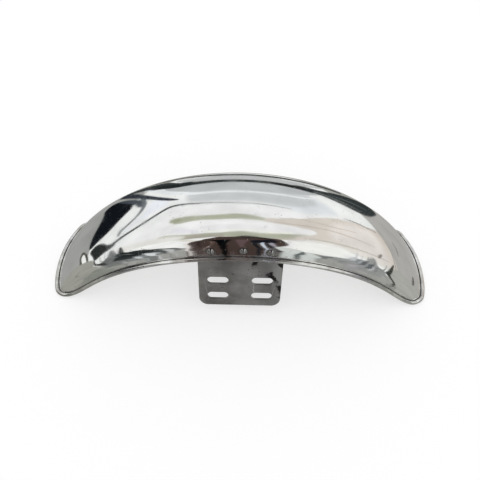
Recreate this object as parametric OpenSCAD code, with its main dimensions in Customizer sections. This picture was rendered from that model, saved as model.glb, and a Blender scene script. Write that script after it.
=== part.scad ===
// Front mudguard of a motorcycle: a pressed and chromed steel shell with its edge rolled
// outwards, a bent steel strap whose two slotted legs bolt between the fork legs, and six
// domed rivets that hold the strap in the shell. All sizes are in millimetres.
// X runs along the mudguard, Y across it and Z up. The two ends stand on the plane Z = 0.

/* [Shell] */
// Radius of the crown line about the wheel's axle, outer skin
crown_r = 347; // [300:1:380]
// Angle at the axle from the middle of the shell to the last of its sheet at an end
end_angle = 51; // [44:0.1:58]
// Thickness of the shell's sheet
sheet_t = 1.2; // [0.8:0.1:1.6]
// Inner radius of the roll along the edge
roll_r = 1.5; // [1.2:0.1:2.2]
// How far the edge is rolled round
roll_angle = 290; // [200:5:300]

/* [Section] */
// Width over the flat skirts, outer skin
shell_w = 136; // [124:1:150]
// Radius of the low curve across the crown
crown_cross_r = 194; // [150:1:260]
// Radius of the shoulder between crown and skirt
shoulder_r = 12; // [10:0.5:20]
// Height of the flat skirt at the middle of the shell
skirt_h = 17.5; // [16:0.1:24]

/* [Edge line] */
// Height by which the skirts run shorter at the waist than at the middle
waist_rise = 5.2; // [0:0.1:10]
// Place of the waist, as a share of the way from the middle to an end
waist_at = 0.55; // [0.52:0.01:0.75]
// Fullness of the rounded ends along the mudguard: a higher value is blunter
end_power_along = 3.75; // [3:0.05:8]
// Fullness of the rounded ends across the mudguard: a higher value is squarer
end_power_across = 4.7; // [3:0.05:6]

/* [Knock in the edge] */
// Depth of the small knock in the rolled edge at one end's near corner
knock_depth = 2; // [0:0.5:4]
// Place of the knock, as a share of the way from the middle to that end
knock_at = 0.97; // [0.8:0.01:1]

/* [Fork bracket] */
// Thickness of the strap and its legs
strap_t = 2.5; // [1.5:0.1:4]
// Length of the strap along the mudguard, and so the width of its legs
strap_w = 108.5; // [98:0.5:120]
// Room between the strap and the inside of the shell
strap_gap = 0.3; // [0.2:0.05:1]
// Angle by which each leg is bent outwards below the skirt
leg_splay = 16.5; // [0:0.5:20]
// Inner radius of that bend
leg_bend_r = 8; // [4:0.5:14]
// Flat length of each leg below the bend
leg_h = 72; // [58:0.5:76]
// Radius of the two lower corners of each leg
leg_corner_r = 12; // [4:0.5:16]

/* [Slots] */
// Distance between the two slots of a row
slot_pitch_x = 58; // [48:1:64]
// Level distance between the two rows, measured upright
slot_pitch_z = 24.3; // [18:0.1:28]
// End-to-end length of a slot
slot_l = 28; // [20:0.5:34]
// Width of a slot, measured upright
slot_w = 11.3; // [8:0.1:14]
// Height of the lower row above the lower edge of its leg
slot_edge = 15.5; // [12:0.5:20]

/* [Rivets] */
// Distance from the outer rivets of a skirt to its middle
rivet_pitch = 37; // [28:1:42]
// Offset of the middle rivet towards +X
rivet_offset = 3; // [0:0.5:6]
// Height of the rivets above the start of the rolled edge
rivet_up = 13.6; // [12:0.1:17]
// Diameter of the shank
rivet_d = 5; // [4:0.1:6]
// Diameter of the domed outer head
rivet_head_d = 9.8; // [8:0.1:11]
// Height of the domed outer head
rivet_head_h = 3.2; // [2:0.1:4]
// Diameter of the flat head formed inside
rivet_tail_d = 7.6; // [7:0.1:9]
// Thickness of the flat head formed inside
rivet_tail_h = 1.6; // [1:0.1:2.5]
// Room round the shank in its holes, and under the heads
rivet_gap = 0.05; // [0.02:0.01:0.2]

/* [Hidden] */

// Resolution: stations along the shell, columns over half the section, steps of the roll
// and steps of the bend in a leg
stations = 48;
crown_columns = 4;
shoulder_columns = 8;
skirt_columns = 2;
roll_steps = 7;
bend_steps = 4;
$fn = 64;

// Overlap where two solids of one piece are joined
joint = 0.02;

// The section, by arc length from the crown's middle
half_w = shell_w / 2;
crown_tilt = asin((half_w - shoulder_r) / (crown_cross_r - shoulder_r));
crown_run = crown_cross_r * crown_tilt * PI / 180;
shoulder_run = shoulder_r * (90 - crown_tilt) * PI / 180;
shoulder_depth = crown_cross_r * (1 - cos(crown_tilt)) + shoulder_r * cos(crown_tilt);
half_girth_mid = crown_run + shoulder_run + skirt_h;
edge_depth = shoulder_depth + skirt_h;
roll_outer_r = roll_r + sheet_t;

half_columns = crown_columns + shoulder_columns + skirt_columns;
columns = 2 * half_columns;
edge_stations = 2 * stations;

// Girth and section of the shell

// Half girth at a share t of the way from the middle to an end
function half_girth(t) =
    (half_girth_mid - waist_rise * (1 - pow(1 - pow(t / waist_at, 2), 2)))
    * pow(max(0, 1 - pow(abs(t), end_power_along)), 1 / end_power_across);

// Tilt of the outer skin from level at an arc length s from the crown's middle
function tilt(s) =
    s < crown_run ? s / crown_cross_r * 180 / PI
    : s < crown_run + shoulder_run ? crown_tilt + (s - crown_run) / shoulder_r * 180 / PI
    : 90;

// Distance across from the crown's middle at an arc length s
function reach(s) =
    s < crown_run ? crown_cross_r * sin(tilt(s))
    : half_w - shoulder_r * (1 - sin(tilt(s)));

// Depth below the crown line at an arc length s
function depth(s) =
    s < crown_run ? crown_cross_r * (1 - cos(tilt(s)))
    : s < crown_run + shoulder_run ? shoulder_depth - shoulder_r * cos(tilt(s))
    : shoulder_depth + s - crown_run - shoulder_run;

// Point and outward normal of the outer skin at a share t along and a signed arc length s,
// measured from the axle
function skin(t, s) =
    let (angle = t * end_angle, r = crown_r - depth(abs(s)))
    [r * sin(angle), sign(s) * reach(abs(s)), r * cos(angle)];

function skin_normal(t, s) =
    let (angle = t * end_angle, lean = tilt(abs(s)))
    [cos(lean) * sin(angle), sign(s) * sin(lean), cos(lean) * cos(angle)];

// Share of the way along at station i: close together at the ends, which round off
function share_along(i) = -cos(180 * i / stations);

// Share of the half girth at column j from the crown's middle: on the bends of the section
// at the middle of the shell, and evenly spaced towards the ends
function bend_run(j) =
    j <= crown_columns ? crown_run * j / crown_columns
    : j <= crown_columns + shoulder_columns
        ? crown_run + shoulder_run * (j - crown_columns) / shoulder_columns
        : crown_run + shoulder_run
            + skirt_h * (j - crown_columns - shoulder_columns) / skirt_columns;

function share_across(j, t) =
    let (even = j / half_columns, bent = bend_run(j) / half_girth_mid)
    bent + (even - bent) * pow(t, 2);

// Point of a skin at station i and column j, moved inwards by a distance
function grid_point(i, j, inwards) =
    let (
        t = share_along(i),
        across = j - half_columns,
        s = sign(across) * share_across(abs(across), t) * half_girth(t)
    )
    skin(t, s) - inwards * skin_normal(t, s);

// The closed edge line and the roll round it

// Depth of the knock at station k of the edge line
function knock(k) =
    let (t = share_along(min(k, edge_stations - k)), spread = (t - knock_at) / 0.012)
    k < stations ? knock_depth * exp(-pow(spread, 2)) : 0;

// Signed arc length of the edge at an angle round the edge line: near side first
function edge_girth(phi) = -sign(sin(phi)) * half_girth(-cos(phi));
function edge_point(phi) = skin(-cos(phi), edge_girth(phi));

// Direction out of the sheet, square to the edge line
function edge_outwards(phi) =
    let (
        step = 0.2,
        along = edge_point(phi + step) - edge_point(phi - step),
        out = cross(along, skin_normal(-cos(phi), edge_girth(phi)))
    )
    out / norm(out);

// Point of the roll at station k and step m, at a radius about the roll's axis
function roll_point(k, m, r) =
    let (
        phi = 360 * k / edge_stations,
        turn = roll_angle * m / roll_steps,
        normal = skin_normal(-cos(phi), edge_girth(phi)),
        out = edge_outwards(phi)
    )
    edge_point(phi) + roll_r * normal - knock(k) * out
    + r * (sin(turn) * out - cos(turn) * normal);

// Order of the points: the skins inside the edge line, then the two faces of the roll
skin_size = (stations - 1) * (columns - 1);
roll_size = edge_stations * (roll_steps + 1);
shell_points = [
    for (inwards = [0, sheet_t], i = [1 : stations - 1], j = [1 : columns - 1])
        grid_point(i, j, inwards),
    for (r = [roll_r, roll_outer_r], k = [0 : edge_stations - 1], m = [0 : roll_steps])
        roll_point(k, m, r)
];

// Place in that order of a point of the roll, face 0 from the outer skin, face 1 the inner
function roll_index(face, k, m) =
    2 * skin_size + face * roll_size + (k % edge_stations) * (roll_steps + 1) + m;

// Place in that order of a grid point: on the edge line it is the roll's first step
function grid_index(face, i, j) =
    i == 0 ? roll_index(face, 0, 0)
    : i == stations ? roll_index(face, stations, 0)
    : j == 0 ? roll_index(face, i, 0)
    : j == columns ? roll_index(face, edge_stations - i, 0)
    : face * skin_size + (i - 1) * (columns - 1) + j - 1;

// Two triangles of a four-sided patch, leaving out one that has shrunk to a line
function patch(a, b, c, d) = [
    if (a != b && b != c && a != c) [a, b, c],
    if (a != c && c != d && a != d) [a, c, d]
];

function turned(faces) = [for (f = faces) [f[2], f[1], f[0]]];

function skin_faces(face) = [
    for (i = [0 : stations - 1], j = [0 : columns - 1], f = patch(
        grid_index(face, i, j), grid_index(face, i, j + 1),
        grid_index(face, i + 1, j + 1), grid_index(face, i + 1, j)
    )) f
];

function roll_faces(face) = [
    for (k = [0 : edge_stations - 1], m = [0 : roll_steps - 1], f = patch(
        roll_index(face, k, m), roll_index(face, k + 1, m),
        roll_index(face, k + 1, m + 1), roll_index(face, k, m + 1)
    )) f
];

lip_faces = [
    for (k = [0 : edge_stations - 1], f = patch(
        roll_index(0, k, roll_steps), roll_index(0, k + 1, roll_steps),
        roll_index(1, k + 1, roll_steps), roll_index(1, k, roll_steps)
    )) f
];

shell_faces = concat(
    skin_faces(0), turned(skin_faces(1)),
    roll_faces(0), turned(roll_faces(1)), lip_faces
);

// Height of the axle when the shell stands on the lowest points of its rolled edge
axle_z = -min([for (point = shell_points) point[2]]);

// Fork bracket and rivets: places worked out from the shell
crown_z = axle_z + crown_r;
edge_r = crown_r - edge_depth;
edge_z = axle_z + edge_r;
leg_face = half_w - sheet_t - strap_gap;
leg_back = leg_face - strap_t;
straight_top = edge_z + skirt_h / 4;

// The rivets of a side lie in a row that follows the edge of the skirt
rivet_x = [-rivet_pitch, rivet_offset, rivet_pitch];
function rivet_z(x) = axle_z + sqrt(pow(edge_r + rivet_up, 2) - pow(x, 2));

// The legs bend just below the rolled edge, which is lowest at the strap's two sides
bend_z = axle_z + sqrt(pow(edge_r, 2) - pow(strap_w / 2, 2)) - roll_outer_r;
leg_start_y = leg_face + leg_bend_r * (1 - cos(leg_splay));
leg_start_z = bend_z - leg_bend_r * sin(leg_splay);
leg_foot_y = leg_start_y + leg_h * sin(leg_splay);
leg_foot_z = leg_start_z - leg_h * cos(leg_splay);
slot_z = leg_foot_z + slot_edge;

// Sector of the strap about the axle, a little wider than the strap itself
strap_angle = 2 * asin(strap_w / 2 / edge_r) + 2;

// Area inside the shell's section, as radius from the axle and distance across
module section_area(inset, low_r) {
    cross_r = crown_r - crown_cross_r;
    bend_r = crown_r - shoulder_depth;
    bend_y = half_w - shoulder_r;
    wedge = 2 * crown_cross_r;
    intersection() {
        translate([cross_r, 0]) circle(r = crown_cross_r - inset, $fn = 256);
        translate([cross_r, 0])
            polygon([
                [0, 0],
                wedge * [cos(crown_tilt), -sin(crown_tilt)],
                wedge * [cos(crown_tilt), sin(crown_tilt)]
            ]);
    }
    for (side = [-1, 1])
        translate([bend_r, side * bend_y]) circle(r = shoulder_r - inset);
    translate([low_r, inset - half_w]) square([bend_r - low_r, shell_w - 2 * inset]);
}

// The strap's middle: it follows the inside of the crown, the shoulders and the skirts
module strap_arch() {
    outer_inset = sheet_t + strap_gap;
    rotate([90, 0, 0]) rotate([0, 0, 90 - strap_angle / 2])
        rotate_extrude(angle = strap_angle, $fn = 256)
            difference() {
                section_area(outer_inset, edge_r);
                section_area(outer_inset + strap_t, edge_r - 1);
            }
}

// Outline of a leg seen square to its flat part, foot downwards
module leg_outline() {
    corner_x = strap_w / 2 - leg_corner_r;
    top = leg_h + strap_w;
    translate([-strap_w / 2, leg_corner_r]) square([strap_w, top - leg_corner_r]);
    translate([-corner_x, 0]) square([2 * corner_x, top]);
    for (x = [-corner_x, corner_x])
        translate([x, leg_corner_r]) circle(r = leg_corner_r);
}

// Points of the bend of the near leg at a radius about the bend's axis, across and up
function leg_bend(r) = [
    for (m = [0 : bend_steps])
        let (a = leg_splay * m / bend_steps)
        [r * cos(a) - leg_face - leg_bend_r, bend_z - r * sin(a)]
];
function upwards(points) = [for (m = [len(points) - 1 : -1 : 0]) points[m]];

// The near leg: straight behind the skirt, bent outwards below it, then flat
module leg() {
    foot = [-leg_foot_y, leg_foot_z];
    intersection() {
        rotate([90, 0, 90]) linear_extrude(2 * strap_w, center = true)
            polygon(concat(
                [[-leg_face, straight_top]],
                leg_bend(leg_bend_r),
                [foot, foot + strap_t * [cos(leg_splay), -sin(leg_splay)]],
                upwards(leg_bend(leg_bend_r + strap_t)),
                [[-leg_back, straight_top]]
            ));
        translate([0, -leg_foot_y, leg_foot_z])
            rotate([90 - leg_splay, 0, 0])
                linear_extrude(2 * strap_w, center = true) leg_outline();
    }
}

// One slot cut level through both legs, along the line of its bolt
module slot_cut() {
    straight = slot_l - slot_w;
    through = 2 * (leg_foot_y + strap_t);
    rotate([90, 0, 0]) {
        for (x = [-straight / 2, straight / 2])
            translate([x, 0]) cylinder(d = slot_w, h = through, center = true);
        cube([straight, slot_w, through], center = true);
    }
}

// Holes of the rivets in one side, or their shanks, along the rivets' own axes
module rivet_rods(d, from_y, to_y, side) {
    for (x = rivet_x)
        translate([x, side * from_y, rivet_z(x)])
            rotate([-side * 90, 0, 0]) cylinder(d = d, h = to_y - from_y);
}

module rivet_holes() {
    for (side = [-1, 1])
        rivet_rods(rivet_d + 2 * rivet_gap, leg_back - strap_t, half_w + strap_t, side);
}

// Section of one rivet, from its tail at the leg's back to the top of its domed head
module rivet_profile() {
    tail_top = leg_back - rivet_gap;
    head_seat = half_w + rivet_gap;
    dome_r = (pow(rivet_head_h, 2) + pow(rivet_head_d / 2, 2)) / (2 * rivet_head_h);
    translate([0, tail_top - rivet_tail_h]) square([rivet_tail_d / 2, rivet_tail_h]);
    translate([0, tail_top - rivet_tail_h])
        square([rivet_d / 2, head_seat - tail_top + rivet_tail_h + joint]);
    intersection() {
        translate([0, head_seat + rivet_head_h - dome_r]) circle(r = dome_r, $fn = 128);
        translate([0, head_seat]) square([rivet_head_d / 2, rivet_head_h]);
    }
}

module shell() {
    color("gainsboro")
        difference() {
            translate([0, 0, axle_z])
                polyhedron(points = shell_points, faces = shell_faces, convexity = 6);
            rivet_holes();
        }
}

module fork_bracket() {
    color("dimgray")
        difference() {
            union() {
                intersection() {
                    translate([0, 0, axle_z]) strap_arch();
                    translate([-strap_w / 2, -half_w, edge_z - strap_w])
                        cube([strap_w, shell_w, crown_r]);
                }
                leg();
                mirror([0, 1, 0]) leg();
            }
            for (x = [-slot_pitch_x / 2, slot_pitch_x / 2], z = [slot_z, slot_z + slot_pitch_z])
                translate([x, 0, z]) slot_cut();
            rivet_holes();
        }
}

module rivets() {
    color("silver")
        for (side = [-1, 1], x = rivet_x)
            translate([x, 0, rivet_z(x)])
                rotate([-side * 90, 0, 0]) rotate_extrude() rivet_profile();
}

shell();
fork_bracket();
rivets();
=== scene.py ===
# Looks of a motorcycle's front mudguard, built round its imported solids. Metres, +Z up.
import math

import bpy
import numpy as np
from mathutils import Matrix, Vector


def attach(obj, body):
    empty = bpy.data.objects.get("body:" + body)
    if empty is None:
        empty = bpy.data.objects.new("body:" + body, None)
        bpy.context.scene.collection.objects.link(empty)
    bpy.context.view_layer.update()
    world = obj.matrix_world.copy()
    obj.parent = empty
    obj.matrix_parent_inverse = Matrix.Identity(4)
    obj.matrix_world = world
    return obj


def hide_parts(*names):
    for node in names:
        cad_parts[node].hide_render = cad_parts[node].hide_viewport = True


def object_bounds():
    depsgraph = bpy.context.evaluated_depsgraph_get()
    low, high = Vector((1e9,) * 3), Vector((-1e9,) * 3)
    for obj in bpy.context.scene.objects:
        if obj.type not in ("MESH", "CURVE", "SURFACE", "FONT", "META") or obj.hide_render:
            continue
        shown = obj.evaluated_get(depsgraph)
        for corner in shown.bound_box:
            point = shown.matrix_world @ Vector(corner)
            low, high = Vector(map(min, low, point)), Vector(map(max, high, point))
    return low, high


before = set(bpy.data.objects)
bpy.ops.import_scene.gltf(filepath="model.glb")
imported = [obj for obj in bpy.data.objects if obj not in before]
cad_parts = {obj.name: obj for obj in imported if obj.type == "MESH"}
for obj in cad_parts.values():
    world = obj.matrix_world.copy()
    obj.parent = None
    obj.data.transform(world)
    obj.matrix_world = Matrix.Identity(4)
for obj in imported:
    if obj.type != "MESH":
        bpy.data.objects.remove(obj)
solid_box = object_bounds()


def deselect_all():
    bpy.ops.object.select_all(action="DESELECT")


# The shell. One steel sheet, pressed to a broad low crown with tight shoulders and flat
# skirts, then rolled outwards into an open bead all round its edge, and chromed. Here it is
# laid out flat, with the future bead standing up on its edge, and then pressed into shape.
CROWN_R = 0.347
END_ANGLE = math.radians(51)
SHEET_T = 0.0012
ROLL_R = 0.0015
ROLL_TURN = math.radians(290)
HALF_W = 0.068
CROSS_R = 0.194
SHOULDER_R = 0.012
SKIRT_H = 0.0175
WAIST_RISE = 0.0052
WAIST_AT = 0.55
POWER_ALONG = 3.75
POWER_ACROSS = 4.7
KNOCK_DEPTH = 0.002
KNOCK_AT = 0.97
KNOCK_SPREAD = 0.014
KNOCK_EASE = 1.6
GRIME_WIDTH = 0.014
SMOOTH_BELOW = math.radians(50)

cross_tilt = math.asin((HALF_W - SHOULDER_R) / (CROSS_R - SHOULDER_R))
crown_run = CROSS_R * cross_tilt
shoulder_run = SHOULDER_R * (math.pi / 2 - cross_tilt)
half_girth_mid = crown_run + shoulder_run + SKIRT_H
axle_z = solid_box[1].z - CROWN_R

# The section by its tilt, run by run from the crown's middle, and what the tilt adds up to
LONGEST_RUN = 0.12
RUN_STEPS = 2400
section_run = np.linspace(0, LONGEST_RUN, RUN_STEPS + 1)
section_tilt = np.interp(
    section_run,
    [0, crown_run, crown_run + shoulder_run],
    [0, cross_tilt, math.pi / 2],
)
run_step = section_run[1]
section_reach = np.cumsum(np.cos(section_tilt)) * run_step
section_depth = np.cumsum(np.sin(section_tilt)) * run_step


def half_girth(t):
    """Run of the sheet from the crown's middle to its edge, at a share t of the way along."""
    waist = WAIST_RISE * (1 - (1 - (t / WAIST_AT) ** 2) ** 2)
    rounding = np.maximum(0, 1 - np.abs(t) ** POWER_ALONG) ** (1 / POWER_ACROSS)
    return (half_girth_mid - waist) * rounding


def pressed(t, run):
    """Point of the outer skin at a share t along and a signed run across."""
    reach = np.interp(np.abs(run), section_run, section_reach)
    radius = CROWN_R - np.interp(np.abs(run), section_run, section_depth)
    angle = t * END_ANGLE
    place = [radius * np.sin(angle), np.sign(run) * reach, axle_z + radius * np.cos(angle)]
    return np.stack(place, axis=-1)


def pressed_normal(t, run):
    lean = np.interp(np.abs(run), section_run, section_tilt)
    angle = t * END_ANGLE
    flat = np.cos(lean)
    return np.stack([flat * np.sin(angle), np.sign(run) * np.sin(lean), flat * np.cos(angle)], -1)


def edge_share(turn):
    """Share along of the edge line's point at a turn, which goes once round the mudguard."""
    return -np.cos(turn)


def edge_run(turn):
    return -np.sign(np.sin(turn)) * half_girth(edge_share(turn))


# The flat sheet: a rectangle of even rows, then a border out to the rounded edge line
ROWS_ALONG = 180
ROWS_ACROSS = 60
BORDER_ROWS = 20
BEAD_ROWS = 12
CORE_SHARE = 0.84
CORE_RUN = 0.0705
CROWDING = 0.3
EDGE_LINE_STEPS = 40000
EDGE_TO_CROWN = 0.93
flat_half_length = CROWN_R * END_ANGLE * EDGE_TO_CROWN

deselect_all()
bpy.ops.mesh.primitive_grid_add(
    x_subdivisions=ROWS_ALONG, y_subdivisions=ROWS_ACROSS, size=2, location=(0, 0, 0)
)
shell = bpy.context.object
shell.name = "pressed_shell"
shell.data.name = "pressed_shell"


def read_places(mesh):
    places = np.empty(len(mesh.vertices) * 3)
    mesh.vertices.foreach_get("co", places)
    return places.reshape(-1, 3)


def write_places(mesh, places):
    mesh.vertices.foreach_set("co", np.asarray(places, float).ravel())
    mesh.update()


def run_at(share):
    """Run across at a share of the rectangle's half width, with closer rows at its sides."""
    return CORE_RUN * ((1 + CROWDING) * share - CROWDING * share ** 3)


core = read_places(shell.data)
core[:, 1] = run_at(core[:, 1])
core[:, 0] = CORE_SHARE * core[:, 0]
write_places(shell.data, core)

# The edge line in even steps: its four corners lie where it runs at half a right angle
fine_turn = np.linspace(0, math.pi, EDGE_LINE_STEPS + 1)
fine_place = np.stack(
    [flat_half_length * edge_share(fine_turn), half_girth(edge_share(fine_turn))], axis=-1
)
fine_step = np.diff(fine_place, axis=0)
fine_length = np.concatenate([[0], np.cumsum(np.linalg.norm(fine_step, axis=1))])
steep = np.abs(fine_step[:, 1]) > np.abs(fine_step[:, 0])
corner_one = int(np.argmin(steep[: len(steep) // 2]))
corner_two = len(steep) - corner_one


def turns_between(first, last, count):
    lengths = np.linspace(fine_length[first], fine_length[last], count + 1)
    return np.interp(lengths, fine_length, fine_turn)


half_across = ROWS_ACROSS // 2
side_turns = np.concatenate([
    turns_between(0, corner_one, half_across)[:-1],
    turns_between(corner_one, corner_two, ROWS_ALONG)[:-1],
    turns_between(corner_two, len(fine_turn) - 1, half_across),
])
edge_turns = np.concatenate([side_turns, 2 * math.pi - side_turns[-2:0:-1]])
edge_places = np.stack([edge_share(edge_turns), edge_run(edge_turns)], axis=-1)

# Corresponding places round the rectangle, in the same order: near side first
along = np.linspace(-1, 1, ROWS_ALONG + 1) * CORE_SHARE
across = run_at(np.linspace(0, 1, half_across + 1))
core_side = np.concatenate([
    np.stack([np.full(half_across, -CORE_SHARE), -across[:-1]], -1),
    np.stack([along[:-1], np.full(ROWS_ALONG, -CORE_RUN)], -1),
    np.stack([np.full(half_across + 1, CORE_SHARE), -across[::-1]], -1),
])
core_edge = np.concatenate([core_side, core_side[-2:0:-1] * [1, -1]])


def nearest(places, choices):
    gaps = np.linalg.norm(places[:, None, :2] - choices[None, :, :2], axis=-1)
    return np.argmin(gaps, axis=1)


def picked_vertices(mesh):
    picked = np.zeros(len(mesh.vertices), bool)
    mesh.vertices.foreach_get("select", picked)
    return np.flatnonzero(picked)


def select_edges(mesh, wanted):
    mesh.vertices.foreach_set("select", np.zeros(len(mesh.vertices), bool))
    mesh.polygons.foreach_set("select", np.zeros(len(mesh.polygons), bool))
    mesh.edges.foreach_set("select", wanted)


def edge_ends(mesh):
    ends = np.empty(len(mesh.edges) * 2, int)
    mesh.edges.foreach_get("vertices", ends)
    return ends.reshape(-1, 2)


bpy.ops.object.mode_set(mode="EDIT")
bpy.ops.mesh.select_mode(type="EDGE")
bpy.ops.mesh.select_all(action="DESELECT")
bpy.ops.mesh.select_non_manifold()
bpy.ops.mesh.extrude_region_move()
bpy.ops.object.mode_set(mode="OBJECT")
border = picked_vertices(shell.data)
sheet = read_places(shell.data)
sheet[border, :2] = edge_places[nearest(sheet[border], core_edge)]
write_places(shell.data, sheet)

# Rows across the border, then the bead's strip standing up on the edge line, also in rows
ends = edge_ends(shell.data)
is_border = np.zeros(len(sheet), bool)
is_border[border] = True
select_edges(shell.data, is_border[ends[:, 0]] != is_border[ends[:, 1]])
bpy.ops.object.mode_set(mode="EDIT")
bpy.ops.mesh.subdivide(number_cuts=BORDER_ROWS - 1)
bpy.ops.mesh.select_all(action="DESELECT")
bpy.ops.mesh.select_non_manifold()
bpy.ops.mesh.extrude_region_move(TRANSFORM_OT_translate={"value": (0, 0, 1)})
bpy.ops.object.mode_set(mode="OBJECT")
ends = edge_ends(shell.data)
heights = read_places(shell.data)[:, 2]
select_edges(shell.data, heights[ends[:, 0]] != heights[ends[:, 1]])
bpy.ops.object.mode_set(mode="EDIT")
bpy.ops.mesh.subdivide(number_cuts=BEAD_ROWS - 1)
bpy.ops.object.mode_set(mode="OBJECT")

# Pressing and rolling
SHEET_LEVEL = 1e-4
SMALL_TURN = math.radians(0.2)
flat = read_places(shell.data)
solid = pressed(flat[:, 0], flat[:, 1])
bead = np.flatnonzero(flat[:, 2] > SHEET_LEVEL)
station = nearest(flat[bead], edge_places)
bead_turn = edge_turns[station]
turn_ahead = bead_turn + SMALL_TURN
turn_behind = bead_turn - SMALL_TURN
ahead = pressed(edge_share(turn_ahead), edge_run(turn_ahead))
behind = pressed(edge_share(turn_behind), edge_run(turn_behind))
skin_out = pressed_normal(edge_share(bead_turn), edge_run(bead_turn))
sheet_out = np.cross(ahead - behind, skin_out)
sheet_out /= np.linalg.norm(sheet_out, axis=1)[:, None]
rolled = (ROLL_TURN * flat[bead, 2])[:, None]
near_side = np.sin(bead_turn) > 0
knock = KNOCK_DEPTH * np.exp(-(((edge_share(bead_turn) - KNOCK_AT) / KNOCK_SPREAD) ** 2))
knock = (knock * near_side * np.minimum(1, KNOCK_EASE * flat[bead, 2]))[:, None]
edge = pressed(edge_share(bead_turn), edge_run(bead_turn))
solid[bead] = (
    edge
    + ROLL_R * skin_out
    - knock * sheet_out
    + ROLL_R * (np.sin(rolled) * sheet_out - np.cos(rolled) * skin_out)
)
write_places(shell.data, solid)

# How near each point is to the edge, for the grime that gathers there
edge_solid = pressed(edge_share(edge_turns), edge_run(edge_turns))
near_edge = np.ones(len(solid))
POINTS_AT_ONCE = 2000
sheet_points = np.flatnonzero(flat[:, 2] <= SHEET_LEVEL)
for start in range(0, len(sheet_points), POINTS_AT_ONCE):
    part = sheet_points[start:start + POINTS_AT_ONCE]
    gaps = np.linalg.norm(solid[part, None] - edge_solid[None], axis=-1).min(axis=1)
    near_edge[part] = np.clip(1 - gaps / GRIME_WIDTH, 0, 1)
shell.data.attributes.new("near_edge", "FLOAT", "POINT").data.foreach_set("value", near_edge)

# The wall grows inwards from the outer skin, so the skin has to face outwards
bpy.ops.object.mode_set(mode="EDIT")
bpy.ops.mesh.select_all(action="SELECT")
bpy.ops.mesh.normals_make_consistent(inside=False)
bpy.ops.object.mode_set(mode="OBJECT")
crown_face = max(shell.data.polygons, key=lambda face: face.center.z)
if crown_face.normal.z < 0:
    shell.data.flip_normals()
wall = shell.modifiers.new("wall", "SOLIDIFY")
wall.thickness = SHEET_T
wall.offset = -1
wall.use_even_offset = True
bpy.ops.object.modifier_apply(modifier=wall.name)
bpy.ops.object.shade_smooth_by_angle(angle=SMOOTH_BELOW)
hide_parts("shell")
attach(shell, "root")

# Marks of use on metal: smudges and fine rub marks in the gloss, pits, and slow waves from
# the press. The same effect finishes the strap and the rivets, with their own values.
RUB_STRETCH = (0.08, 1, 1)
RUB_SHARE = 0.35
PIT_ROUGHNESS = 0.3
PIT_DEPTH = 0.4
FINE_WAVES = 0.05


def add_node(tree, kind, **settings):
    made = tree.nodes.new(kind)
    for name, value in settings.items():
        setattr(made, name, value)
    return made


def set_inputs(tree, made, values):
    """Sets each named or numbered input to its value, or links it to the output given."""
    for name, value in values.items():
        if isinstance(value, bpy.types.NodeSocket):
            tree.links.new(value, made.inputs[name])
        else:
            made.inputs[name].default_value = value


def math_step(tree, kind, *values):
    made = add_node(tree, "ShaderNodeMath", operation=kind)
    set_inputs(tree, made, dict(enumerate(values)))
    return made.outputs["Value"]


def ramp_step(tree, source, low, high, at_low=0, at_high=1, curve="LINEAR"):
    made = add_node(tree, "ShaderNodeMapRange", interpolation_type=curve)
    ends = {"From Min": low, "From Max": high, "To Min": at_low, "To Max": at_high}
    set_inputs(tree, made, {"Value": source, **ends})
    return made.outputs["Result"]


def noise_step(tree, place, scale, detail, roughness=0.5):
    made = add_node(tree, "ShaderNodeTexNoise")
    values = {"Vector": place, "Scale": scale, "Detail": detail, "Roughness": roughness}
    set_inputs(tree, made, values)
    return made.outputs["Fac"]


def object_place(tree):
    return add_node(tree, "ShaderNodeTexCoord").outputs["Object"]


marks = bpy.data.node_groups.new("metal_marks", "ShaderNodeTree")
for name, start in (("Gloss", 0.05), ("Smudge", 0.06), ("Pit Scale", 260.0), ("Pit Limit", 0.12)):
    socket = marks.interface.new_socket(name, in_out="INPUT", socket_type="NodeSocketFloat")
    socket.default_value = start
for name in ("Roughness", "Pits", "Cloud", "Height"):
    marks.interface.new_socket(name, in_out="OUTPUT", socket_type="NodeSocketFloat")
given = add_node(marks, "NodeGroupInput").outputs
place = object_place(marks)


def mark_patches(scale, detail, low, high, where=place):
    """Patches where a noise passes from low to high."""
    noise = noise_step(marks, where, scale, detail)
    return ramp_step(marks, noise, low, high, curve="SMOOTHSTEP")


stretched = add_node(marks, "ShaderNodeMapping")
set_inputs(marks, stretched, {"Vector": place, "Scale": RUB_STRETCH})
smudge = mark_patches(scale=26, detail=5, low=0.4, high=0.72)
grain = stretched.outputs["Vector"]
rubbed = mark_patches(scale=900, detail=2, low=0.52, high=0.75, where=grain)
cells = add_node(marks, "ShaderNodeTexVoronoi")
set_inputs(marks, cells, {"Vector": place, "Scale": given["Pit Scale"]})
in_pit = math_step(marks, "LESS_THAN", cells.outputs["Distance"], given["Pit Limit"])
pits = math_step(marks, "MULTIPLY", in_pit, mark_patches(scale=60, detail=3, low=0.56, high=0.62))
spread = math_step(marks, "MULTIPLY_ADD", rubbed, RUB_SHARE, smudge)
gloss = math_step(marks, "MULTIPLY_ADD", spread, given["Smudge"], given["Gloss"])
slow_waves = noise_step(marks, place, scale=15, detail=1.5)
fine_waves = noise_step(marks, place, scale=120, detail=1)
waves = math_step(marks, "MULTIPLY_ADD", fine_waves, FINE_WAVES, slow_waves)
set_inputs(marks, add_node(marks, "NodeGroupOutput"), {
    "Roughness": math_step(marks, "MULTIPLY_ADD", pits, PIT_ROUGHNESS, gloss),
    "Pits": pits,
    "Cloud": mark_patches(scale=38, detail=6, low=0.35, high=0.65),
    "Height": math_step(marks, "MULTIPLY_ADD", pits, -PIT_DEPTH, waves),
})


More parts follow.
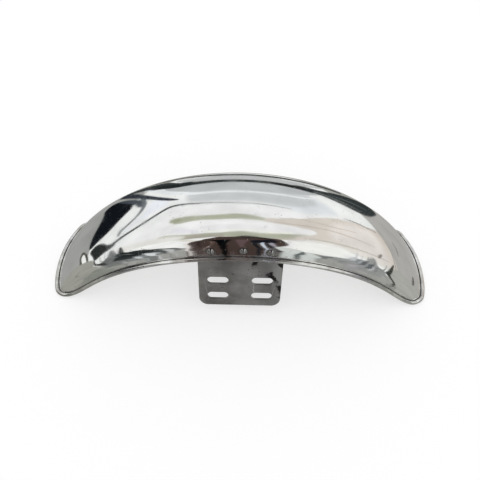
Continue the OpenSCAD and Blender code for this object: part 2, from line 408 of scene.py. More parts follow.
def marked_metal(name, clean, dull, metallic, gloss, smudge, pit_limit, wave_height):
    """A metal with its clean and its dulled colour, its gloss and its unevenness."""
    metal = bpy.data.materials.new(name)
    metal.use_nodes = True
    tree = metal.node_tree
    worn = add_node(tree, "ShaderNodeGroup", node_tree=marks, name="worn")
    set_inputs(tree, worn, {"Gloss": gloss, "Smudge": smudge, "Pit Limit": pit_limit})
    tint = add_node(tree, "ShaderNodeMix", data_type="RGBA", name="tint")
    colours = {"A": clean + (1,), "B": dull + (1,)}
    set_inputs(tree, tint, {"Factor": worn.outputs["Pits"], **colours})
    waves = add_node(tree, "ShaderNodeBump")
    set_inputs(tree, waves, {"Distance": wave_height, "Height": worn.outputs["Height"]})
    set_inputs(tree, tree.nodes["Principled BSDF"], {
        "Metallic": metallic,
        "Roughness": worn.outputs["Roughness"],
        "Normal": waves.outputs["Normal"],
        "Base Color": tint.outputs["Result"],
    })
    return metal


chrome = marked_metal(
    "chrome_plate", clean=(0.87, 0.87, 0.87), dull=(0.3, 0.28, 0.25), metallic=1,
    gloss=0.05, smudge=0.05, pit_limit=0.13, wave_height=0.00008,
)
# Grime and worn plating along the edge and its bead; painted shade in a dark ring round each rivet
# head
RIVET_XS = (-0.037, 0.003, 0.037)
RIVET_CIRCLE_R = 0.3223
RING_OUTSIDE = 0.0078
RING_INSIDE = 0.0056
RING_MOST = 0.9
GRIME_GAIN = 0.34
GRIME_START = -0.1
GRIME_MOST = 0.85
GRIME_ROUGHNESS = 0.16
GRIME_COVER = 0.35
tree = chrome.node_tree
near = add_node(tree, "ShaderNodeAttribute", attribute_name="near_edge").outputs["Fac"]
place = object_place(tree)
patchy = noise_step(tree, place, scale=75, detail=6, roughness=0.6)
reach = math_step(tree, "MULTIPLY_ADD", near, GRIME_GAIN, GRIME_START)
dirt_sum = math_step(tree, "ADD", patchy, reach)
dirt = ramp_step(tree, dirt_sum, low=0.54, high=1.0, at_high=GRIME_MOST)
grime_and_ring_shade = dirt
# Painted shade: each rivet head gets a darker, duller ring of chrome round it
for rivet_x in RIVET_XS:
    rivet_z = axle_z + math.sqrt(RIVET_CIRCLE_R ** 2 - rivet_x ** 2)
    seat = add_node(tree, "ShaderNodeMapping")
    seat_place = {"Location": (-rivet_x, 0, -rivet_z), "Scale": (1, 0, 1)}
    set_inputs(tree, seat, {"Vector": place, **seat_place})
    gap = add_node(tree, "ShaderNodeVectorMath", operation="LENGTH")
    set_inputs(tree, gap, {0: seat.outputs["Vector"]})
    ring = ramp_step(tree, gap.outputs["Value"], RING_OUTSIDE, RING_INSIDE, at_high=RING_MOST)
    grime_and_ring_shade = math_step(tree, "MAXIMUM", grime_and_ring_shade, ring)
worn = tree.nodes["worn"].outputs
set_inputs(tree, tree.nodes["tint"], {"Factor": math_step(tree, "MAXIMUM", worn["Pits"], grime_and_ring_shade)})
set_inputs(tree, tree.nodes["Principled BSDF"], {
    "Roughness": math_step(tree, "MULTIPLY_ADD", grime_and_ring_shade, GRIME_ROUGHNESS, worn["Roughness"]),
    "Metallic": math_step(tree, "MULTIPLY_ADD", dirt, -GRIME_COVER, 1),
})
shell.data.materials.append(chrome)

# The room that the chrome mirrors. A dome with plain panels on it stands in for the
# workshop: a pale wall with long ledges behind, openings at both sides, a dark standing
# screen in front and the grey floor below. Only mirror-like rays see any of it.
DOME_RADIUS = 3.2
DOME_MIDDLE = (0, 0, 0.05)
LAYER_STEP = 0.008
FIRST_LAYER = 2
MIRROR = 0.87
SCREEN_GAMMA = 2.2
CLOUD_SCALE = 1.6
UNEVEN = 0.09
RIM_SHARE = 0.15
TAPER_STOPS = 9
TAPER_START = 0.08


def light_of(shade):
    """Light that looks like a screen shade of 0 to 255 in the chrome."""
    return tuple(min(1, (part / 255) ** SCREEN_GAMMA / MIRROR) for part in shade) + (1,)


def only_mirrored(thing):
    thing.visible_camera = False
    thing.visible_diffuse = False
    thing.visible_transmission = False
    thing.visible_shadow = False


def glow(name, shade):
    """A light of one shade, a little uneven, that shows as far as "cover" says."""
    paint = bpy.data.materials.new(name)
    paint.use_nodes = True
    tree = paint.node_tree
    tree.nodes.clear()
    cloud = noise_step(tree, object_place(tree), scale=CLOUD_SCALE, detail=4)
    light = add_node(tree, "ShaderNodeEmission")
    set_inputs(tree, light, {
        "Color": light_of(shade),
        "Strength": ramp_step(tree, cloud, 0.3, 0.7, at_low=1 - UNEVEN, at_high=1 + UNEVEN),
    })
    clear = add_node(tree, "ShaderNodeBsdfTransparent")
    cover = add_node(tree, "ShaderNodeAttribute", attribute_name="cover")
    blend = add_node(tree, "ShaderNodeMixShader")
    shown = {1: clear.outputs["BSDF"], 2: light.outputs["Emission"]}
    set_inputs(tree, blend, {"Fac": cover.outputs["Fac"], **shown})
    output = add_node(tree, "ShaderNodeOutputMaterial")
    set_inputs(tree, output, {"Surface": blend.outputs["Shader"]})
    return paint


def map_place(azimuth, height):
    """Place on a flat map round the point overhead, in degrees. 0 faces the camera's side."""
    turn = math.radians(azimuth)
    return ((90 - height) * math.sin(turn), -(90 - height) * math.cos(turn))


def rounded(points, closed):
    """Points of a smooth line through the given ones."""
    points = [np.array(p, float) for p in points]
    count = len(points)
    line = []
    for at in range(count if closed else count - 1):
        if closed:
            four = [points[(at + step) % count] for step in (-1, 0, 1, 2)]
        else:
            four = [points[min(max(at + step, 0), count - 1)] for step in (-1, 0, 1, 2)]
        a, b, c, d = four
        for part in (0, 0.25, 0.5, 0.75):
            line.append(
                0.5 * (2 * b + (c - a) * part + (2 * a - 5 * b + 4 * c - d) * part ** 2
                       + (3 * b - a - 3 * c + d) * part ** 3)
            )
    if not closed:
        line.append(points[-1])
    return line


panels = []


def panel(name, shade, outline, soft):
    """A panel on the dome from its outline on the flat map, with a soft rim as wide as said.
    Later ones hide earlier ones."""
    mesh = bpy.data.meshes.new(name)
    mesh.from_pydata([(x, y, 0) for x, y in outline], [], [tuple(range(len(outline)))])
    made = bpy.data.objects.new(name, mesh)
    bpy.context.scene.collection.objects.link(made)
    deselect_all()
    made.select_set(True)
    bpy.context.view_layer.objects.active = made
    bpy.ops.object.mode_set(mode="EDIT")
    bpy.ops.mesh.select_all(action="SELECT")
    bpy.ops.mesh.normals_make_consistent(inside=False)
    bpy.ops.mesh.inset(thickness=soft, use_boundary=True)
    bpy.ops.object.mode_set(mode="OBJECT")
    cover = mesh.attributes.new("cover", "FLOAT", "POINT")
    whole = np.zeros(len(mesh.vertices))
    whole[picked_vertices(mesh)] = 1
    cover.data.foreach_set("value", whole)
    bpy.ops.object.mode_set(mode="EDIT")
    bpy.ops.mesh.select_all(action="SELECT")
    bpy.ops.mesh.quads_convert_to_tris()
    bpy.ops.mesh.subdivide(number_cuts=3)
    bpy.ops.object.mode_set(mode="OBJECT")
    flat_map = read_places(mesh)
    fall = np.radians(np.linalg.norm(flat_map[:, :2], axis=1))
    turn = np.arctan2(flat_map[:, 0], -flat_map[:, 1])
    radius = DOME_RADIUS - LAYER_STEP * (len(panels) + FIRST_LAYER)
    place = [np.sin(fall) * np.sin(turn), -np.sin(fall) * np.cos(turn), np.cos(fall)]
    write_places(mesh, np.stack(place, -1) * radius + DOME_MIDDLE)
    mesh.materials.append(glow(name, shade))
    panels.append(made)
    only_mirrored(made)


def patch(name, shade, corners, soft=0.6):
    """A panel with a smooth outline through corners of (azimuth, height)."""
    outline = rounded([map_place(*corner) for corner in corners], closed=True)
    panel(name, shade, [tuple(place) for place in outline], soft)


def strip(name, shade, line):
    """A strip along a line of (azimuth, height, width)."""
    ribbon(name, shade, rounded([map_place(*stop[:2]) + (stop[2],) for stop in line], closed=False))


def ribbon(name, shade, middle):
    """A panel along a line of (x, y, width) on the flat map."""
    middle = np.array(middle)
    run = np.gradient(middle[:, :2], axis=0)
    run /= np.linalg.norm(run, axis=1)[:, None]
    aside = np.stack([-run[:, 1], run[:, 0]], -1) * middle[:, 2:] / 2
    outline = np.concatenate([middle[:, :2] + aside, (middle[:, :2] - aside)[::-1]])
    panel(name, shade, outline.tolist(), float(middle[:, 2].min()) * RIM_SHARE)


# The dome: floor below its far line and wall above, by share of its height and shade
DOME_SHADES = (
    (0.0, (150, 150, 146)),
    (0.512, (158, 158, 153)),
    (0.518, (231, 233, 231)),
    (0.95, (230, 231, 230)),
)
deselect_all()
bpy.ops.mesh.primitive_uv_sphere_add(
    segments=96, ring_count=64, radius=DOME_RADIUS, location=(0, 0, 0)
)
dome = bpy.context.object
dome.name = "dome"
write_places(dome.data, read_places(dome.data) + DOME_MIDDLE)
dome.data.attributes.new("cover", "FLOAT", "POINT")
dome.data.attributes["cover"].data.foreach_set("value", np.ones(len(dome.data.vertices)))
dome_paint = glow("dome_paint", DOME_SHADES[-1][1])
tree = dome_paint.node_tree
split = add_node(tree, "ShaderNodeSeparateXYZ")
set_inputs(tree, split, {"Vector": object_place(tree)})
ramp = add_node(tree, "ShaderNodeValToRGB")
set_inputs(tree, ramp, {"Fac": ramp_step(tree, split.outputs["Z"], -DOME_RADIUS, DOME_RADIUS)})
stops = ramp.color_ramp.elements
for number, (position, shade) in enumerate(DOME_SHADES):
    stop = stops[number] if number < len(stops) else stops.new(position)
    stop.position = position
    stop.color = light_of(shade)
set_inputs(tree, tree.nodes["Emission"], {"Color": ramp.outputs["Color"]})
dome.data.materials.append(dome_paint)
only_mirrored(dome)

patch("floor_back_left", (150, 151, 148), [
    (212, 0), (240, 0.5), (270, 2), (285, 0), (285, -25), (250, -40), (212, -50)], 2)
patch("floor_back_right", (166, 164, 160), [
    (98, 1), (115, 0.5), (135, -1), (148, -10), (150, -40), (120, -40), (98, -25)], 2)

# Behind: the wall's ledges and bands, from the top down
patch("arch", (168, 170, 152), [
    (106, 60), (102, 68), (108, 76), (120, 81), (150, 85), (180, 86), (215, 86), (240, 82),
    (254, 75), (262, 68), (262, 55), (256, 45), (252, 48), (250, 60), (243, 69), (230, 75.5),
    (210, 78.5), (180, 79.5), (150, 78.5), (130, 75), (120, 69), (115, 60), (112, 50)])
patch("arch_left_leg", (166, 160, 150), [
    (238, 80), (248, 78), (262, 70), (264, 60), (258, 58), (253, 58), (250, 62), (244, 71)], 3)
patch("arch_left_foot", (219, 218, 213), [
    (252, 60), (262, 58), (265, 40), (262, 24), (256, 22), (254, 38), (251, 50)], 3)
patch("arch_right_leg", (186, 180, 170), [
    (98, 70), (104, 74), (110, 66), (113, 56), (109, 50), (105, 52), (101, 60)], 3)
patch("upper_left_glow", (222, 220, 225), [
    (246, 66), (251, 58), (251, 50), (246, 49), (240, 52), (238, 60), (242, 66)], 4)
strip("upper_glow", (225, 225, 225), [
    (138, 71, 2), (155, 74, 4), (180, 75.4, 4.6), (205, 74, 4.6), (222, 70, 4), (234, 64, 2)])
patch("left_glow", (225, 228, 234), [
    (214, 24), (219, 31), (230, 29), (240, 24), (243, 21), (230, 23), (219, 17)], 2)
strip("arch_lining", (236, 237, 226), [
    (116, 60, 1.5), (122, 70, 1.5), (135, 75.5, 1.5), (150, 77.8, 1.5), (180, 78.7, 1.5),
    (210, 77.7, 1.5), (230, 74.3, 1.5), (240, 69, 1.5)])
patch("light_band_end", (214, 218, 221), [
    (133, 20), (133, 34), (137, 43), (148, 47), (160, 46), (156, 30), (150, 20)], 4)
patch("light_band", (197, 200, 201), [
    (143, 24), (142, 34), (146, 42), (154, 46), (166, 49), (180, 50), (195, 48), (205, 44.5),
    (212, 38), (209, 30), (200, 22), (180, 22), (155, 20)], 3)
patch("low_band", (181, 184, 184), [
    (150, 10), (151, 20), (158, 29), (168, 33.5), (180, 35), (192, 33.5), (202, 29), (208, 20),
    (209, 10), (200, 8), (180, 8), (160, 8)])
strip("white_ledge", (226, 229, 230), [
    (147, 19, 1.5), (151, 27, 2), (160, 32.5, 2.5), (170, 35.2, 2.5), (180, 36, 2.8),
    (190, 35.2, 2.8), (200, 32.5, 3), (206, 28, 3.5), (210, 20, 4), (211, 8, 3.5), (211.5, -3, 2)])
strip("upper_ledge_shade", (158, 160, 160), [
    (146, 44, 0.6), (155, 47.5, 1), (168, 49.8, 1.2), (180, 50.4, 1.4), (192, 49, 1.4),
    (203, 45.5, 1.4)])
strip("upper_ledge_line", (58, 61, 62), [
    (200, 46.6, 0.8), (207, 43.8, 1.4), (213, 39.5, 1.8), (218, 35.7, 2), (222, 33.9, 2),
    (230, 32.6, 2), (237, 30.2, 2), (243, 26.4, 2.1), (248, 21.2, 2.4), (253, 15, 2.6)])
strip("olive_ledge", (168, 171, 152), [
    (141, 60, 0.8), (150, 63.6, 2.5), (160, 65, 4), (170, 65.3, 5), (180, 65.2, 5.4),
    (190, 64.8, 5.4), (200, 63.9, 5.2), (210, 61.8, 5), (220, 57.4, 5), (227, 53, 6),
    (232, 49.5, 6.5), (235, 47, 5)])
patch("olive_ledge_end", (148, 153, 128), [
    (229, 49.5), (233, 50.5), (236.4, 48), (236.6, 45.6), (233, 44.4), (229.4, 46)], 0.8)

# Right: a beige wall with its thin edges
patch("beige_wall", (206, 199, 190), [
    (104, 0), (101, 20), (102, 45), (106, 60), (111, 58), (114, 48), (118, 48), (123, 54),
    (133, 61), (144, 65), (152, 66), (152, 62), (142, 57), (135, 49), (132.5, 40), (131, 28),
    (129, 19), (127, 8), (126, 0), (115, -1)])
patch("beige_wall_light", (219, 216, 209), [
    (101, 4), (100, 30), (102, 52), (107, 56), (109, 45), (108, 25), (107, 5)], 3)
patch("beige_wall_low", (221, 215, 209), [
    (103, 3), (103, 30), (110, 42), (120, 40), (128, 30), (127, 14), (124, 4), (112, 2)], 5)
strip("beige_wall_line", (182, 172, 162), [
    (150, 65.3, 0.5), (140, 62.5, 0.8), (130, 56, 0.8), (123, 47, 0.8), (118, 35, 0.9),
    (115, 25, 0.8), (113, 12, 0.6)])
strip("beige_wall_fold", (186, 178, 168), [
    (143, 57.5, 0.5), (134, 49, 0.7), (127, 41, 0.7), (122, 32, 0.8), (120, 20, 0.6)])
strip("door_edge", (96, 92, 88), [(130.5, 20.5, 0.5), (129, 16, 1.2), (126.5, 9, 1), (125, 3, 0.5)])
strip("door_frame", (184, 180, 170), [
    (108, 56, 0.8), (106.5, 44, 1.4), (106, 30, 1.4), (106.4, 16, 1.2), (107.6, 4, 0.8)])
strip("floor_mark_right", (72, 72, 69), [
    (105.4, -13.4, 0.8), (108.5, -15, 1.8), (111.6, -15.8, 0.8)])
strip("floor_mark_low", (120, 118, 112), [(116, -6.5, 0.5), (120, -7.8, 1), (124, -8, 0.5)])
strip("door_knob", (120, 116, 108), [(106, 12, 0.8), (108, 10.5, 1.8), (110, 8.5, 0.8)])
strip("skirting_right", (150, 147, 143), [(103, 0, 1), (115, -0.6, 0.8), (127, 0.5, 0.8)])

# The dark far end of the room, low down, and the light between
patch("far_dark_right", (52, 57, 57), [
    (136, -6), (136, 0), (139, 5.5), (145, 10), (152, 14), (160, 17.5), (160, 12), (153, 6),
    (150, -2), (148, -12), (146, -24), (142, -22), (138.5, -14)])
strip("far_mottle_right", (104, 108, 107), [
    (138, -3, 0.8), (141, 1.5, 1.6), (146, 6.6, 2), (154, 12, 1.2)])
strip("far_mottle_low_right", (92, 97, 96), [
    (141, -12, 1), (144, -4, 2), (147, 2, 1.4), (149, 6, 0.8)])
patch("far_dark_left", (50, 54, 55), [
    (199, 17.5), (204, 15.5), (208, 10), (210.5, 2), (212.5, -8), (214, -20), (211, -16),
    (207, -6), (204, 0), (202, 8), (198, 12)])
strip("far_beam", (38, 41, 41), [
    (152, 12, 6), (160, 16, 5.6), (170, 19, 5), (180, 20, 4.8), (190, 18.7, 5.2),
    (200, 15, 6), (206, 10, 6.5), (210, 0, 5)])
strip("far_glow", (182, 184, 184), [
    (153, -1, 2), (156, 5, 4), (161, 9, 5), (170, 13, 5.5), (180, 14.3, 5.8), (190, 12.6, 5.6),
    (198, 8.6, 5), (202, 3.5, 3)])
strip("far_sill", (64, 67, 66), [
    (150, -10, 4), (154, -4, 4), (160, 2.4, 4), (170, 7.2, 4), (180, 8.4, 4), (190, 6.6, 4),
    (200, 0, 4), (206, -9, 4)])

# Left: the open doorway and what stands in it
strip("doorway_post", (48, 53, 60), [
    (212.6, 31, 1.2), (214.6, 27, 3), (216, 20, 3.6), (216.4, 12, 4), (216, 4, 4.6),
    (215, -6, 5), (213.6, -18, 5.4)])
patch("doorway_dark", (24, 27, 31), [
    (217.5, -16), (218, -4), (220, 4), (224.5, 9.5), (232, 10.6), (240, 9.4), (245, 5.4),
    (248, 0.6), (241, -2.4), (232, -5.6), (226, -10.5), (221, -17)], 0.5)
patch("doorway_side", (66, 72, 78), [
    (217.4, -14), (218, 4), (219.3, 11), (222.5, 15.6), (224.5, 14), (222, 7), (220, -4)], 0.6)
strip("doorway_arch", (96, 101, 104), [
    (217.5, 6, 2), (219.5, 11.5, 3), (222.5, 16, 2.8), (227, 19.3, 2.2), (232, 20.6, 1.8),
    (238, 20, 1.8), (242, 18.4, 2.2), (246, 18.5, 1.6)])
patch("doorway_shadow", (44, 47, 46), [
    (247, 5), (247.5, 10), (250, 14), (251, 19.5), (254, 18), (256.5, 12), (258, 8), (254, 5),
    (250, 2)])
patch("doorway_lamp_rim", (70, 68, 60), [
    (246.4, -4.6), (250, 0.4), (256, 3.4), (260.4, 2), (259.4, -1), (254, -3.6),
    (249.6, -5.6)], 0.6)
patch("doorway_lamp", (240, 240, 236), [
    (248.4, -3), (251, -0.6), (256, 1.8), (258.4, 0.6), (254.6, -1.6), (250.4, -3.8)], 0.2)
strip("skirting_left", (92, 91, 84), [(249, -5, 0.8), (254, -3.4, 0.8), (259, -1.4, 0.8)])

# In front, at both sides: a pale wall over shelves, whose long bands run down to the floor's
# far line. Each row of a family is a band's share of the way from the outer line to the inner
# one, its share of the room between them, where along the lines it begins and ends, and its
# shade.
def band_family(name, outer, inner, bands):
    outer = rounded([map_place(*stop) for stop in outer], closed=False)
    inner = rounded([map_place(*stop) for stop in inner], closed=False)
    last = len(outer) - 1
    for number, (share, width, begin, end, shade) in enumerate(bands):
        stops = range(round(begin * last), round(end * last) + 1)
        line = [outer[at] * (1 - share) + inner[at] * share for at in stops]
        gap = [float(np.linalg.norm(outer[at] - inner[at])) * width for at in stops]
        to_end = np.minimum(np.arange(len(gap)), np.arange(len(gap))[::-1])
        taper = np.minimum(1, to_end / TAPER_STOPS + TAPER_START)
        middle = [tuple(place) + (wide * thin,) for place, wide, thin in zip(line, gap, taper)]
        ribbon(name + "_" + str(number), shade, middle)


patch("front_sky_left", (214, 210, 200), [
    (-98, 62), (-80, 66), (-60, 66), (-50, 58), (-62, 57), (-80, 57), (-98, 56)], 3)
patch("front_wall_left", (236, 237, 234), [
    (-96, 52), (-75, 54), (-55, 52), (-42, 44), (-32, 32), (-24, 18), (-21, 4), (-30, 6),
    (-40, 20), (-55, 31), (-75, 36), (-96, 34)], 2)
LEFT_OUTER = [
    (-104, 31), (-88, 33), (-71, 35.5), (-52, 30), (-38, 24.5), (-28, 17), (-21.5, 6), (-18, -6),
    (-15.6, -22), (-14, -54)]
LEFT_INNER = [
    (-104, 5), (-88, 8.6), (-73, 8.6), (-61, 3.5), (-51, -4), (-43, -14), (-37.5, -24),
    (-34, -34), (-31.5, -44), (-30, -54)]
patch("floor_front_left", (150, 150, 143), [
    (-104, 6), (-88, 9), (-76, 9), (-64, 5), (-54, -2), (-46, -11), (-40, -20),
    (-34, -35), (-30, -58), (-55, -62), (-80, -40), (-104, -22)], 1)
patch("floor_gloom_left", (128, 131, 123), [
    (-56, -4), (-48, -9), (-40, -20), (-34, -36), (-31, -56), (-38, -56), (-42, -40),
    (-49, -22)], 2)
band_family("shelf_left", LEFT_OUTER, LEFT_INNER, [
    (0.5, 1.0, 0, 1, (112, 115, 113)),
    (0.28, 0.6, 0, 0.66, (36, 40, 40)),
    (0.52, 0.54, 0.16, 0.6, (38, 42, 43)),
    (0.62, 0.36, 0.3, 0.64, (52, 56, 56)),
    (0.05, 0.08, 0.05, 0.5, (74, 78, 78)),
    (0.34, 0.07, 0.05, 0.36, (120, 124, 123)),
    (0.17, 0.05, 0.1, 0.5, (66, 69, 69)),
    (0.52, 0.14, 0, 0.26, (116, 119, 117)),
    (0.66, 0.07, 0.0, 0.3, (84, 87, 85)),
    (0.78, 0.1, 0, 0.34, (104, 106, 102)),
    (0.93, 0.16, 0, 0.46, (28, 27, 26)),
    (0.04, 0.09, 0.42, 0.8, (84, 86, 86)),
    (0.14, 0.1, 0.45, 1, (182, 184, 183)),
    (0.23, 0.07, 0.48, 1, (78, 82, 82)),
    (0.31, 0.06, 0.46, 1, (142, 146, 146)),
    (0.4, 0.13, 0.5, 1, (210, 214, 214)),
    (0.5, 0.05, 0.5, 1, (122, 127, 127)),
    (0.57, 0.08, 0.54, 1, (196, 201, 203)),
    (0.68, 0.1, 0.58, 1, (126, 130, 130)),
    (0.78, 0.05, 0.6, 1, (168, 171, 170)),
    (0.9, 0.14, 0.6, 1, (122, 125, 119)),
])
strip("floor_shade_left", (128, 128, 121), [
    (-100, -2, 1), (-92, -3.5, 1.6), (-82, -4, 1.2), (-72, -5, 0.8)])

patch("floor_front_right", (163, 164, 157), [
    (104, 4), (92, 8), (82, 7.6), (72, 3.6), (64, -2.4), (56, -11), (48, -22.5), (42, -34),
    (38, -58), (60, -62), (85, -38), (104, -20)], 0.6)
patch("wall_front_right", (235, 235, 231), [
    (18, 12), (23, 28), (30, 40), (45, 52), (65, 61), (88, 64), (103, 60), (103, 30),
    (88, 32.5), (72, 31), (56, 24), (43, 15), (32, 7), (24, -2), (19, -6)], 3)
patch("corner_right", (199, 203, 199), [
    (11, 16), (17, 22), (22, 12), (25, 2), (22, -12), (19, -54), (10, -54), (10.5, -20)], 0.8)
RIGHT_OUTER = [
    (104, 27), (92, 29.5), (80, 30), (68, 27), (56, 21.5), (45, 15), (35, 8), (27, -2),
    (21.5, -18), (18.6, -54)]
RIGHT_INNER = [
    (104, 3.5), (95, 7.5), (86, 8.6), (76, 7.6), (67, 3), (58, -4), (50.5, -14), (44, -26),
    (39.5, -38), (36.6, -54)]
band_family("shelf_right", RIGHT_OUTER, RIGHT_INNER, [
    (0.5, 1.0, 0, 1, (143, 145, 143)),
    (0.06, 0.16, 0, 0.62, (188, 191, 192)),
    (0.2, 0.08, 0.02, 0.66, (126, 130, 134)),
    (0.28, 0.06, 0.1, 0.7, (166, 169, 170)),
    (0.36, 0.12, 0, 0.64, (88, 91, 94)),
    (0.45, 0.05, 0.12, 0.66, (152, 154, 155)),
    (0.55, 0.13, 0.03, 0.7, (84, 88, 90)),
    (0.64, 0.05, 0.14, 0.8, (184, 187, 187)),
    (0.72, 0.08, 0.1, 0.72, (124, 127, 126)),
    (0.86, 0.12, 0.0, 0.5, (136, 137, 133)),
    (0.01, 0.05, 0.3, 0.7, (98, 102, 102)),
    (0.08, 0.16, 0.66, 1, (102, 107, 105)),
    (0.22, 0.06, 0.62, 1, (142, 144, 143)),
    (0.3, 0.07, 0.64, 1, (118, 122, 121)),
    (0.45, 0.12, 0.66, 1, (168, 163, 168)),
    (0.56, 0.05, 0.6, 1, (138, 136, 140)),
    (0.76, 0.1, 0.66, 1, (142, 144, 139)),
    (0.9, 0.1, 0.56, 1, (160, 160, 154)),
])
strip("floor_line_right", (58, 60, 55), [
    (107, 1.2, 0.8), (103, 3.8, 2), (98, 6.2, 3), (92, 7.6, 3.6), (82, 7.2, 3.4),
    (72, 3.4, 3), (64, -2.4, 2.6),
    (56, -11, 2.2), (48, -22.4, 1.9), (42, -34, 1.8), (37.5, -54, 1.7)])
strip("streak_right_dark", (84, 91, 90), [
    (20, -4, 1), (18, -14, 2.6), (16, -30, 3.6), (15, -54, 4)])

# Front: the dark standing screen, from the floor to overhead
patch("screen", (68, 57, 53), [
    (100, 69), (108, 77), (120, 82), (150, 84.4), (180, 85), (215, 85), (240, 82.6), (255, 77),
    (285, 70), (300, 66.5), (310, 58), (320, 47), (330, 33), (337, 20), (341.5, 5),
    (344.5, -10), (346.5, -30), (347.5, -54), (9.5, -54), (10.5, -20), (11.5, 0), (13.5, 12),
    (18, 22), (23, 31), (30, 41), (40, 51), (52, 59), (66, 64), (82, 67)])
patch("screen_olive_left", (82, 74, 62), [
    (-56, 66), (-40, 68), (-28, 62), (-22, 48), (-26, 44), (-34, 52), (-44, 60)], 2)
strip("screen_head", (27, 27, 31), [
    (96, 73, 3), (110, 80.4, 4), (150, 85.6, 4), (215, 86, 3)])
strip("screen_top_right", (27, 28, 35), [
    (80, 74, 4), (50, 70, 9), (30, 65, 13), (19, 56, 13), (13, 46, 8), (10, 38, 4)])
strip("screen_fold_dark", (12, 15, 17), [
    (-30, 68, 13), (-17, 57, 9), (-11.6, 44, 6.4), (-9, 30, 5.4), (-7, 14, 5), (-5.4, 0, 4.8),
    (-4.6, -20, 4.6), (-4, -54, 4.6)])
strip("screen_fold_light", (92, 76, 76), [
    (4, 72, 7), (0.6, 55, 6), (0.4, 30, 3.6), (0.4, 0, 2.4), (0.6, -20, 1.4), (1, -54, 1.2)])
strip("screen_fold_left", (92, 75, 68), [
    (-24, 54, 3), (-17.5, 42, 2.6), (-13.5, 28, 2), (-11, 12, 1.4), (-10, -6, 1)])
strip("screen_seam_dark", (30, 32, 36), [
    (9, 50, 3), (7.4, 36, 3), (6.2, 20, 2.8), (5.4, 0, 2.6), (5, -54, 2.6)])
strip("screen_edge_right", (190, 198, 210), [
    (17, 50, 1.2), (12.6, 40, 2), (10, 26, 2.2), (8.3, 8, 2), (7.4, -10, 2), (7, -54, 2)])
strip("screen_gap_right", (150, 147, 156), [
    (27, 54, 1.2), (20, 44, 3), (16.6, 33, 3.4), (14.4, 22, 2.4), (12.8, 10, 1)])
strip("screen_rim_right", (40, 44, 48), [
    (15.4, 38, 1.4), (12.4, 26, 2.2), (10.8, 10, 2.2), (10, -10, 2.2), (9.6, -54, 2.2)])
strip("screen_rim_left", (46, 38, 35), [
    (-34, 52, 3), (-27, 42, 2.4), (-21, 30, 2), (-16, 14, 1.6), (-13, -4, 1.4), (-11.5, -54, 1.4)])
strip("screen_edge_left", (226, 220, 215), [
    (-46, 53, 1.4), (-36, 42, 2.4), (-28, 30, 2.8), (-22, 18, 2.4), (-18, 4, 2.2),
    (-15.5, -10, 2), (-14, -28, 2), (-13, -54, 2.2)])
strip("screen_gleam_left", (176, 164, 160), [
    (-10.6, 4, 0.5), (-9.4, -12, 0.8), (-8.8, -54, 0.9)])
strip("screen_foot", (104, 98, 104), [
    (-20, -52.9, 1.6), (-14, -52.8, 2.4), (-7, -52.7, 2.6), (0, -52.7, 2.6), (7, -52.7, 2.6),
    (13, -52.8, 2.4), (19, -52.9, 1.6)])


# The strap. Flat steel strip, bent to a U over the crown's inside and splayed, with its
# corners rounded and four slots punched in each leg, left a dull grey with painted dark
# reflections.
SHEARED_EDGE = 0.0003
SAME_POINT = 0.000001
FLAT_BELOW = math.radians(1)
SHARP_ABOVE = math.radians(40)
BENDS_BELOW = math.radians(35)
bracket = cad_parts["fork_bracket"].copy()
bracket.data = bracket.data.copy()
bracket.name = "slotted_strap"
bracket.data.name = "slotted_strap"
bpy.context.scene.collection.objects.link(bracket)
bracket.data.materials.clear()
deselect_all()
bracket.select_set(True)
bpy.context.view_layer.objects.active = bracket
bpy.ops.object.mode_set(mode="EDIT")
bpy.ops.mesh.select_all(action="SELECT")
bpy.ops.mesh.remove_doubles(threshold=SAME_POINT)
bpy.ops.mesh.dissolve_limited(angle_limit=FLAT_BELOW)
bpy.ops.object.mode_set(mode="OBJECT")
eased = bracket.modifiers.new("eased", "BEVEL")
eased.width = SHEARED_EDGE
eased.segments = 2
eased.limit_method = "ANGLE"
eased.angle_limit = SHARP_ABOVE
bpy.ops.object.modifier_apply(modifier=eased.name)
bpy.ops.object.shade_smooth_by_angle(angle=BENDS_BELOW)
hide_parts("fork_bracket")
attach(bracket, "root")

strap_steel = marked_metal(
    "strap_steel", clean=(0.44, 0.44, 0.43), dull=(0.2, 0.19, 0.18), metallic=0.8,
    gloss=0.3, smudge=0.16, pit_limit=0.2, wave_height=0.00005,
)
# Cloudy grey, with painted dark reflections as blotches that gather towards one upper corner of
# each leg
CLOUD_DARK = (0.36, 0.36, 0.35, 1)
CLOUD_LIGHT = (0.52, 0.52, 0.51, 1)
PAINTED_DARK_REFLECTION = (0.035, 0.033, 0.032, 1)
tree = strap_steel.node_tree
place = object_place(tree)
split = add_node(tree, "ShaderNodeSeparateXYZ")
set_inputs(tree, split, {"Vector": place})
along_strap = ramp_step(tree, split.outputs["X"], 0.0, 0.055, at_low=-0.16, at_high=0.08)
up_leg = ramp_step(tree, split.outputs["Z"], 0.035, 0.085, at_low=-0.12, at_high=0.07)
dark_reflection_here = math_step(tree, "ADD", along_strap, up_leg)
dark_reflection_noise = noise_step(tree, place, scale=55, detail=6)
dark_reflection_sum = math_step(tree, "ADD", dark_reflection_noise, dark_reflection_here)
cloudy = add_node(tree, "ShaderNodeMix", data_type="RGBA")
clouds = tree.nodes["worn"].outputs["Cloud"]
set_inputs(tree, cloudy, {"Factor": clouds, "A": CLOUD_DARK, "B": CLOUD_LIGHT})
set_inputs(tree, tree.nodes["tint"], {"A": cloudy.outputs["Result"]})
# Painted reflection: near-black blotches laid over the grey where the noise and the corner ramps
# add up
dark_reflection_mix = add_node(tree, "ShaderNodeMix", data_type="RGBA")
dark_reflection_share = ramp_step(tree, dark_reflection_sum, low=0.56, high=0.63)
under = tree.nodes["tint"].outputs["Result"]
set_inputs(tree, dark_reflection_mix, {"Factor": dark_reflection_share, "A": under, "B": PAINTED_DARK_REFLECTION})
set_inputs(tree, tree.nodes["Principled BSDF"], {"Base Color": dark_reflection_mix.outputs["Result"]})
bracket.data.materials.append(strap_steel)

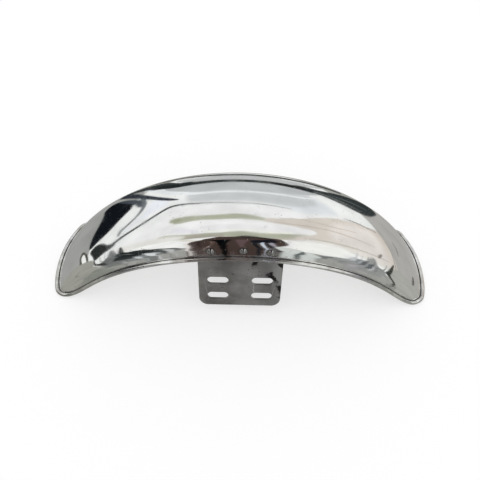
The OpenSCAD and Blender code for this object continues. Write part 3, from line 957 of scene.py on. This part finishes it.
# The rivets. Six solid steel rivets, three through each skirt and the strap's leg behind it,
# with a domed head outside and a low formed tail inside, plated with the shell.
rivet_steel = marked_metal(
    "rivet_steel", clean=(0.38, 0.38, 0.38), dull=(0.14, 0.12, 0.1), metallic=1,
    gloss=0.07, smudge=0.1, pit_limit=0.22, wave_height=0.00008,
)
rivet_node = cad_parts["rivets"]
rivet_node.data.materials.clear()
rivet_node.data.materials.append(rivet_steel)


# The floor and the light. A wide matt floor that looks nearly white and keeps the object's
# shadow, under an even white sky. The mirrored room has a floor of its own.
FLOOR_GREY = (0.45, 0.45, 0.45, 1)
FLOOR_LIFT = 0.6
SKY_LIGHT = (0.9, 0.9, 0.9, 1)
SKY_SEEN = (1, 1, 1, 1)
deselect_all()
bpy.ops.mesh.primitive_plane_add(size=12, location=(0, 0, 0))
floor = bpy.context.object
floor.name = "floor"
floor_paint = bpy.data.materials.new("floor_paint")
floor_paint.use_nodes = True
floor.data.materials.append(floor_paint)
tree = floor_paint.node_tree
matt = tree.nodes["Principled BSDF"]
set_inputs(tree, matt, {"Base Color": FLOOR_GREY, "Roughness": 1, "Specular IOR Level": 0})
whitening = add_node(tree, "ShaderNodeEmission")
seen_ray = add_node(tree, "ShaderNodeLightPath").outputs["Is Camera Ray"]
set_inputs(tree, whitening, {"Strength": math_step(tree, "MULTIPLY", seen_ray, FLOOR_LIFT)})
both = add_node(tree, "ShaderNodeAddShader")
set_inputs(tree, both, {0: matt.outputs["BSDF"], 1: whitening.outputs["Emission"]})
set_inputs(tree, tree.nodes["Material Output"], {"Surface": both.outputs["Shader"]})
floor.visible_glossy = False

world = bpy.data.worlds.new("studio")
bpy.context.scene.world = world
world.use_nodes = True
tree = world.node_tree
lighting = tree.nodes["Background"]
set_inputs(tree, lighting, {"Color": SKY_LIGHT})
seen = add_node(tree, "ShaderNodeBackground")
set_inputs(tree, seen, {"Color": SKY_SEEN})
seen_ray = add_node(tree, "ShaderNodeLightPath").outputs["Is Camera Ray"]
either = add_node(tree, "ShaderNodeMixShader")
skies = {1: lighting.outputs["Background"], 2: seen.outputs["Background"]}
set_inputs(tree, either, {"Fac": seen_ray, **skies})
set_inputs(tree, tree.nodes["World Output"], {"Surface": either.outputs["Shader"]})

# The camera, where the photograph was taken from
ELEVATION = math.radians(49.37)
ROLL = math.radians(1.33)
DISTANCE = 0.5631
TARGET = (-0.00134, 0, 0.05003)
SENSOR_WIDTH = 36
LENS = 29.321
camera_data = bpy.data.cameras.new("photo_view")
camera = bpy.data.objects.new("photo_view", camera_data)
bpy.context.scene.collection.objects.link(camera)
camera_data.sensor_width = SENSOR_WIDTH
camera_data.lens = LENS
camera.location = (
    TARGET[0],
    TARGET[1] - DISTANCE * math.cos(ELEVATION),
    TARGET[2] + DISTANCE * math.sin(ELEVATION),
)
camera.rotation_mode = "XYZ"
camera.rotation_euler = (math.pi / 2 - ELEVATION, 0, 0)
camera.rotation_euler.rotate_axis("Z", ROLL)
bpy.context.scene.camera = camera
bpy.context.scene.view_settings.view_transform = "Standard"
